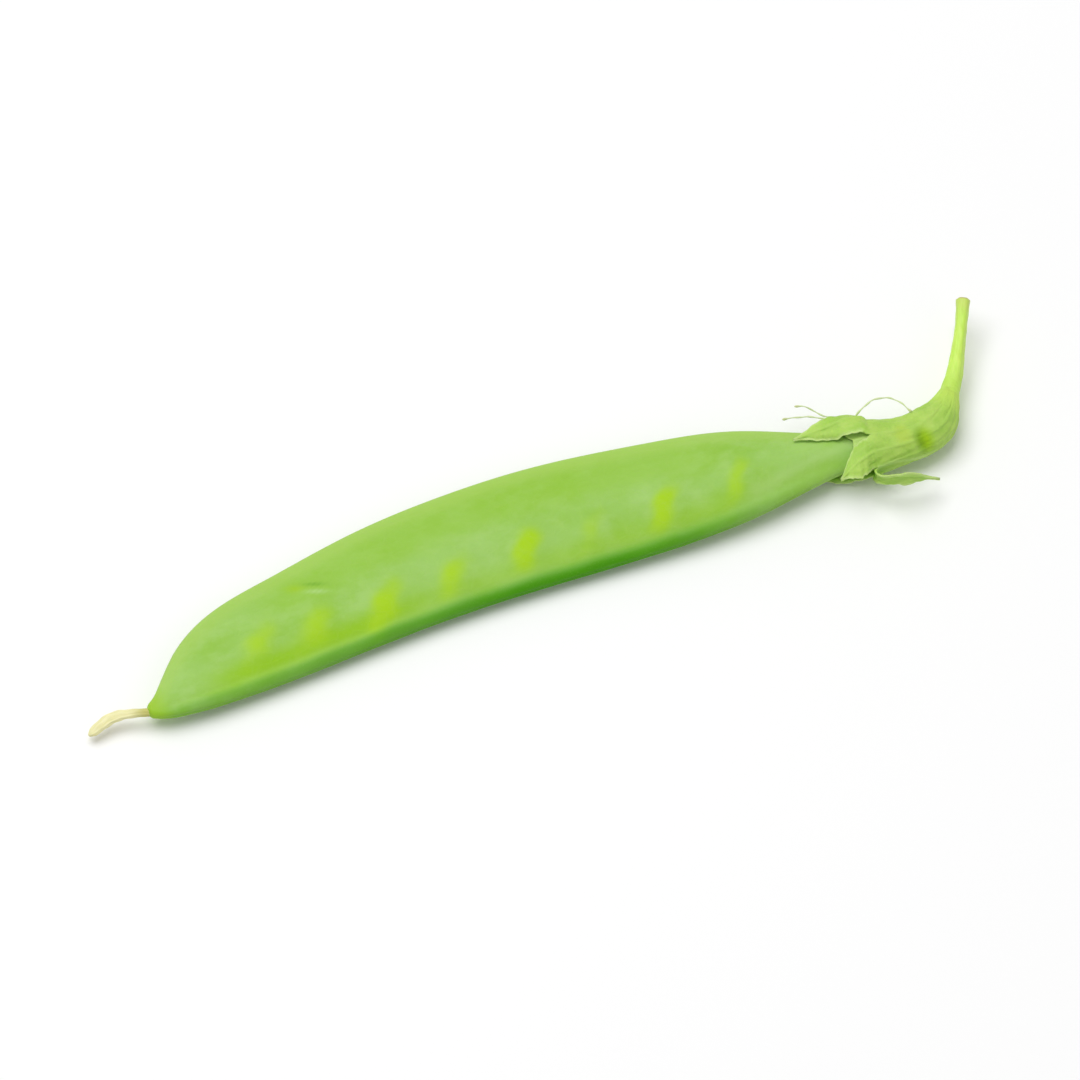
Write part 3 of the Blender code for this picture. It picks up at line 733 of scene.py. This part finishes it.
# Behind its start the stem flares as the cup does, and sinks into it.
inside = np.maximum(-at[:, None], 0) * length_of(STEM_LINE)
radius = radius + STEM_FLARE * inside - STEM_SINK * (inside / (STEM_BEFORE * length_of(STEM_LINE))) ** 2
radius = radius + STEM_UNEVEN * np.sin(40 * at[:, None] + 2 * np.sin(turn * 2))
radius = radius * (1 - 0.25 * smooth((at[:, None] - 0.985) / 0.015))
grid = tube(path, radius, STEM_AROUND, CUP_FLATTEN + (1 - CUP_FLATTEN) * smooth(at / 0.3))
points, faces = closed_tube(grid, path[0], path[-1])
fields = tube_fields(at, turn)
stalk = Finish("stem_stalk", Subsurface_Weight=0.2, Subsurface_Radius=(0.9, 1.3, 0.35),
               Subsurface_Scale=0.0008, IOR=1.42)
streaks = stalk.noise(stalk.field("lay", "Vector"), 4.0, 4.0)
fine = stalk.noise(stalk.place(), 2400.0, 3.0)
along = stalk.field("along")
colour = stalk.coats(stalk.mix(streaks.eased(0.35, 0.65), STALK, PALER_STALK), [
    (along.eased(0.30, 0.0), STALK_BY_CUP),
    (along.eased(0.8, 0.97) * 0.5, STALK_FADING),
    (along.eased(0.975, 0.995) * 0.8, DRIED_END)])
material = stalk.done(Base_Color=colour, Roughness=0.40 + 0.12 * streaks + 0.2 * along.eased(0.97, 0.99),
                      Normal=stalk.bump(fine + streaks, 0.00005))
piece("stem_stalk", points, faces, fields, material, "stem_green", ["stem"])

# The style: what is left of the flower's pistil on the beak.  It has dried to a flat papery ribbon,
# cream with a brown root where it meets the green beak, grooved lengthwise and limp at its tip.
STYLE_LINE = [(0.0, -1.1), (-1.8, -0.45), (-4.1, 0.1), (-6.4, -0.3), (-8.1, -0.8)]
STYLE_RADIUS = [0.5, 0.62, 0.78, 0.74, 0.5]
STYLE_DROP = 1.3
STYLE_ROWS = 120
STYLE_AROUND = 40
STYLE_BEFORE = 0.08
STYLE_END = 0.97
STYLE_CLOSE_AT = 0.975
STYLE_GROOVE, STYLE_UNEVEN, STYLE_FLATTEN = 0.06, 0.05, 0.42
CREAM, PALER_CREAM = (0.82, 0.78, 0.38, 1.0), (0.92, 0.88, 0.52, 1.0)
BROWN_ROOT = (0.52, 0.50, 0.10, 1.0)
DULL_TIP = (0.66, 0.66, 0.26, 1.0)
at = np.linspace(-STYLE_BEFORE, STYLE_END, STYLE_ROWS)
path = start_before(STYLE_LINE, at)
path = np.column_stack([path, lift(0.0) - STYLE_DROP * np.maximum(at, 0) ** 2])
turn = np.linspace(0, 2 * math.pi, STYLE_AROUND, endpoint=False)[None, :]
radius = cubic(np.linspace(0, 1, len(STYLE_RADIUS)), STYLE_RADIUS, np.clip(at, 0, 1))[:, None]
radius = radius * (1 + STYLE_GROOVE * np.cos(7 * turn + 3 * at[:, None])
                   + STYLE_UNEVEN * np.sin(31 * at[:, None] + 2 * turn))
radius = radius * np.sqrt(np.clip((STYLE_CLOSE_AT - at[:, None]) / 0.08, 0.02, 1))
grid = tube(path, radius, STYLE_AROUND, 1 - STYLE_FLATTEN * smooth((at - 0.05) / 0.3))
points, faces = closed_tube(grid, path[0], path[-1])
fields = tube_fields(at, turn)
papery = Finish("dry_style", Subsurface_Weight=0.15, Subsurface_Radius=(1.0, 0.9, 0.6),
                Subsurface_Scale=0.0005)
streaks = papery.noise(papery.field("lay", "Vector"), 5.0, 4.0)
along = papery.field("along")
colour = papery.coats(papery.mix(streaks.eased(0.35, 0.65), CREAM, PALER_CREAM), [
    (along.eased(0.30, 0.02) * 0.8, BROWN_ROOT),
    (along.eased(0.86, 1.0) * 0.3, DULL_TIP)])
material = papery.done(Base_Color=colour, Roughness=0.62 + 0.2 * streaks,
                       Normal=papery.bump(streaks, 0.00008))
piece("dry_style_ribbon", points, faces, fields, material, "dry_style", ["style"])

# The stamens: ten filaments, nine of them joined in a sheath that once hugged the young pod.  What is
# left is a pale torn collar inside the calyx's mouth and a few withered threads that cling to it.
THREADS = [[(98.8, 3.2, 1.5), (100.0, 3.9, 2.6), (101.6, 4.3, 3.4), (104.0, 4.1, 3.6), (105.4, 2.7, 3.5),
            (106.3, 1.1, 3.15)],
           [(99.5, 2.0, 3.2), (97.4, 3.8, 2.6), (95.4, 5.6, 1.9), (93.4, 6.9, 1.5), (91.0, 7.3, 1.7)],
           [(99.8, 1.6, 2.6), (97.6, 4.4, 1.8), (95.6, 6.6, 1.5), (94.4, 7.6, 2.2), (93.0, 8.2, 2.4)]]
THREAD_RADIUS = 0.13
THREAD_WANDER = 0.05
THREAD_KNOB = 0.07
THREAD_ROWS = 70
THREAD_AROUND = 10
# The collar's rings: place along the pod, middle, half breadth and half height.
COLLAR_AT = [103.0, 101.5, 99.8, 98.2, 96.4]
COLLAR_MIDDLE = [-0.9, -0.8, -0.6, -0.35, -0.02]
COLLAR_BREADTH = [2.5, 2.9, 3.15, 3.15, 3.1]
COLLAR_HEIGHT = [2.0, 2.35, 2.6, 2.35, 1.95]
COLLAR_THICK = 0.14
COLLAR_PLEAT = 0.07
COLLAR_ROWS = 40
COLLAR_AROUND = 160
THREAD_WHITE, THREAD_PALEST = (0.60, 0.72, 0.34, 1.0), (0.76, 0.84, 0.52, 1.0)
THREAD_TIP = (0.56, 0.56, 0.24, 1.0)
COLLAR_GREEN = (0.46, 0.70, 0.135, 1.0)
points = []
faces = []
along = []
used = 0
for number, route in enumerate(THREADS):
    at = np.linspace(0, 1, THREAD_ROWS)
    path = line(route, at)
    bends = [np.sin(25 * at + number), np.sin(19 * at + 2 * number), np.sin(31 * at)]
    path = path + THREAD_WANDER * np.column_stack(bends)
    radius = THREAD_RADIUS * (1 - 0.35 * at) * (1 + 0.25 * np.sin(40 * at + number))
    radius = radius + THREAD_KNOB * mound(at - 0.97, 0.03)
    radius = radius * np.sqrt(np.clip((1.004 - at) / 0.02, 0, 1))
    grid = tube(path, radius[:, None], THREAD_AROUND)
    some, more = closed_tube(grid, path[0], path[-1], used)
    points.append(some)
    faces += more
    along.append(np.append(np.repeat(at, THREAD_AROUND), [0, 1]))
    used += len(some)
# The collar is a closed thin wall: its rings go out along the outside and back along the inside.
turn = np.linspace(0, 2 * math.pi, COLLAR_AROUND, endpoint=False)[None, :]
torn = (0.88 + 0.07 * np.cos(turn) + 0.03 * np.sin(3 * turn + 1) * np.sin(5 * turn)
        + 0.015 * np.sin(11 * turn))
share = np.linspace(0, 1, COLLAR_ROWS)
there_and_back = np.concatenate([share, share[::-1]])[:, None]
inset = np.where(np.arange(2 * COLLAR_ROWS) < COLLAR_ROWS, 0.0, COLLAR_THICK)[:, None]
where = there_and_back * torn
knots = np.linspace(0, 1, len(COLLAR_AT))
middle, breadth, height, x = (cubic(knots, values, where.ravel()).reshape(where.shape) for values in
                              (COLLAR_MIDDLE, COLLAR_BREADTH, COLLAR_HEIGHT, COLLAR_AT))
pleat = COLLAR_PLEAT * np.sin(19 * turn + 4 * where)
grid = np.stack([x, middle + (breadth + pleat - inset) * np.cos(turn),
                 lift(x) + (height + pleat - inset) * np.sin(turn)], axis=2)
rings = np.arange(2 * COLLAR_ROWS * COLLAR_AROUND).reshape(2 * COLLAR_ROWS, COLLAR_AROUND) + used
rings = np.vstack([rings, rings[:1]])
corners = [rings[:-1], np.roll(rings, -1, axis=1)[:-1], np.roll(rings, -1, axis=1)[1:], rings[1:]]
faces += np.stack(corners, axis=-1).reshape(-1, 4).tolist()
points.append(grid.reshape(-1, 3))
along.append(0 * grid[:, :, 0].ravel() + 0.4)
collar = np.concatenate([np.zeros(used), there_and_back.repeat(COLLAR_AROUND)])
fields = {"along": np.concatenate(along), "collar": collar}
thread = Finish("withered_thread", Subsurface_Weight=0.2, Subsurface_Radius=(1.0, 1.0, 0.8),
                Subsurface_Scale=0.0004)
cloudy = thread.noise(thread.place(), 900.0)
colour = thread.coats(thread.mix(cloudy, THREAD_WHITE, THREAD_PALEST), [
    (thread.field("along").eased(0.90, 0.97) * 0.5, THREAD_TIP),
    (thread.field("collar").eased(0.0, 0.1) * 0.9, COLLAR_GREEN)])
material = thread.done(Base_Color=colour, Roughness=0.5 + 0.2 * cloudy)
piece("withered_stamens", np.concatenate(points), faces, fields, material, "dry_style")

# The table: a plain white surface that takes the pod's soft shadow.  A large soft lamp hangs over it,
# a weak one stands in front, and the white room round it lights the rest.
FLOOR_HALF = 3.0
TABLE_WHITE, TABLE_WHITEST = (0.95, 0.95, 0.95, 1.0), (0.97, 0.97, 0.97, 1.0)
ROOM_LIGHT = 0.385
# Each lamp: its place, its side length and its power in watts.
LAMPS = {"overhead": ((-0.15, 0.2, 0.97), 0.9, 8.2), "front_fill": ((0.5, -0.9, 0.8), 0.8, 1.0)}
mesh = bpy.data.meshes.new("floor")
mesh.from_pydata([(-FLOOR_HALF, -FLOOR_HALF, 0), (FLOOR_HALF, -FLOOR_HALF, 0), (FLOOR_HALF, FLOOR_HALF, 0),
                  (-FLOOR_HALF, FLOOR_HALF, 0)], [], [(0, 1, 2, 3)])
white = Finish("white_table", Roughness=0.7)
shade = white.mix(white.noise(white.place(), 6.0, 2.0), TABLE_WHITE, TABLE_WHITEST)
mesh.materials.append(white.done(Base_Color=shade))
floor = bpy.data.objects.new("floor", mesh)
bpy.context.scene.collection.objects.link(floor)

world = bpy.data.worlds.new("studio")
world.use_nodes = True
world.node_tree.nodes["Background"].inputs["Color"].default_value = (1.0, 1.0, 1.0, 1.0)
world.node_tree.nodes["Background"].inputs["Strength"].default_value = ROOM_LIGHT
bpy.context.scene.world = world
for name, (spot, side, watts) in LAMPS.items():
    data = bpy.data.lights.new(name, "AREA")
    data.size = side
    data.energy = watts
    lamp = bpy.data.objects.new(name, data)
    lamp.location = spot
    lamp.rotation_euler = (-Vector(spot)).to_track_quat("-Z", "Y").to_euler()
    bpy.context.scene.collection.objects.link(lamp)

# The camera looks down on the pod from its seed side, a little to the left of its middle, from far
# enough off that the near end is hardly magnified.
AZIMUTH = math.radians(-23.1)
ELEVATION = math.radians(57.0)
DISTANCE = 4.0
FIELD = 0.137
AIM = Vector((0.0, 0.0, 0.0025))
back = Vector((math.sin(AZIMUTH) * math.cos(ELEVATION), -math.cos(AZIMUTH) * math.cos(ELEVATION),
               math.sin(ELEVATION)))
lens = bpy.data.cameras.new("camera")
lens.lens = lens.sensor_width * DISTANCE / FIELD
camera = bpy.data.objects.new("camera", lens)
camera.location = AIM + back * DISTANCE
camera.rotation_euler = (-back).to_track_quat("-Z", "Y").to_euler()
bpy.context.scene.collection.objects.link(camera)
bpy.context.scene.camera = camera
bpy.context.scene.view_settings.view_transform = "Standard"

bpy.context.view_layer.update()
